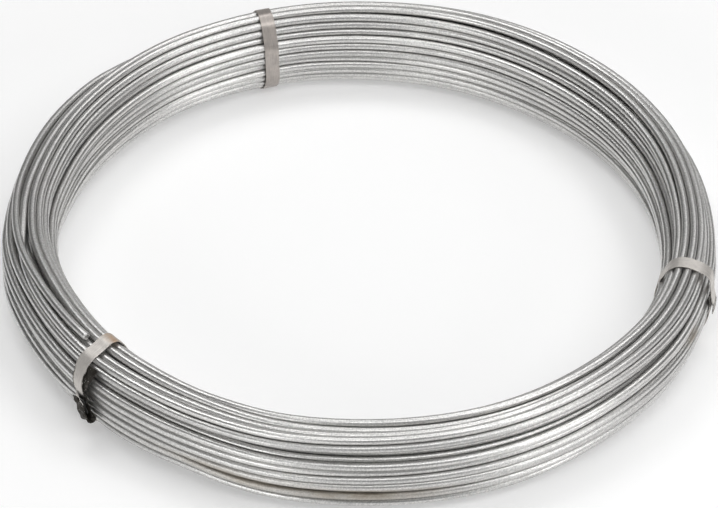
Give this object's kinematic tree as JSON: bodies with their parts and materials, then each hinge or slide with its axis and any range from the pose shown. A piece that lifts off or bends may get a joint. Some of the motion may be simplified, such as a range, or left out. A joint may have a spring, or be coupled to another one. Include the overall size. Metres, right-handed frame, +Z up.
{
  "type": "coil of galvanized steel wire",
  "caption": "Ring-shaped coil of galvanized steel wire, wound in nested turns, lying flat and tied with flat steel straps.",
  "frame": {"origin": "on the coil's axis, at the level of the ground that it lies on", "axes": "+Z up along the coil's axis; angles round the coil run from +X towards +Y, with the back strap at 108.5, the left one at 222 and the right one at 346 degrees"},
  "size_m": [0.3559, 0.356, 0.0479],
  "materials": {
    "galvanized_wire": "hot-dip galvanized, satin grey with a fine grain",
    "strap_steel": "flat strip, dull beige grey, brushed"
  },
  "bodies": {
    "root": {"wire_coil": "galvanized_wire", "strap_back": "strap_steel", "strap_left": "strap_steel", "strap_right": "strap_steel"}
  },
  "joints": []
}
